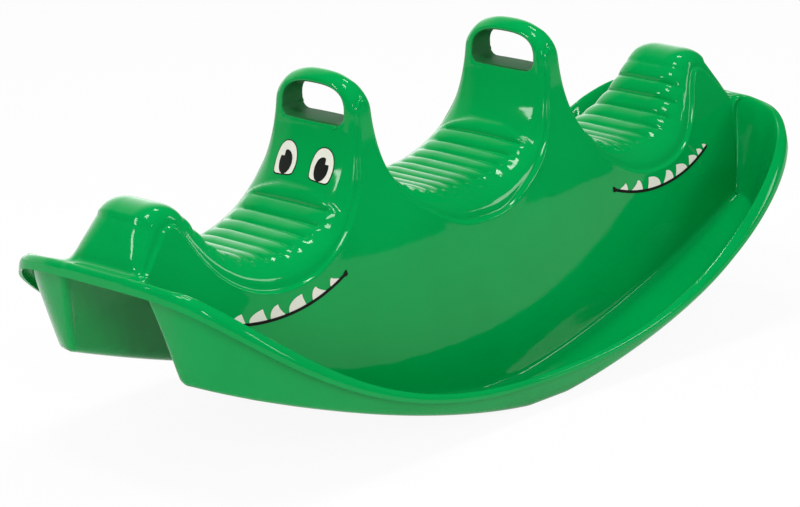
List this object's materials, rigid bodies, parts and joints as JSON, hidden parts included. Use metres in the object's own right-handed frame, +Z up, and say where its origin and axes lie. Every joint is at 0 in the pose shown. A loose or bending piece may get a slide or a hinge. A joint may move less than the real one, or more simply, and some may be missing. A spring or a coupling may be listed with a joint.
{
  "type": "rocking toy",
  "caption": "Boat-shaped rocking crocodile for children: ribbed saddle seats, handle towers with hand holes and two footwells that rock.",
  "frame": {"origin": "centre of the footprint, on the ground under the footwells", "axes": "+X along the length towards one head, +Y across, +Z up"},
  "size_m": [1.001, 0.406, 0.3846],
  "materials": {
    "green_plastic": "gloss",
    "print_white": "satin",
    "print_black": "satin"
  },
  "bodies": {
    "root": {"shell": "green_plastic", "eye_outline_a_right": "print_black", "eye_white_a_right": "print_white", "eye_pupil_a_right": "print_black", "teeth_a_right": "print_white", "mouth_line_a_right": "print_black", "eye_outline_a_left": "print_black", "eye_white_a_left": "print_white", "eye_pupil_a_left": "print_black", "teeth_a_left": "print_white", "mouth_line_a_left": "print_black", "eye_outline_b_right": "print_black", "eye_white_b_right": "print_white", "eye_pupil_b_right": "print_black", "teeth_b_right": "print_white", "mouth_line_b_right": "print_black", "eye_outline_b_left": "print_black", "eye_white_b_left": "print_white", "eye_pupil_b_left": "print_black", "teeth_b_left": "print_white", "mouth_line_b_left": "print_black"}
  },
  "joints": []
}
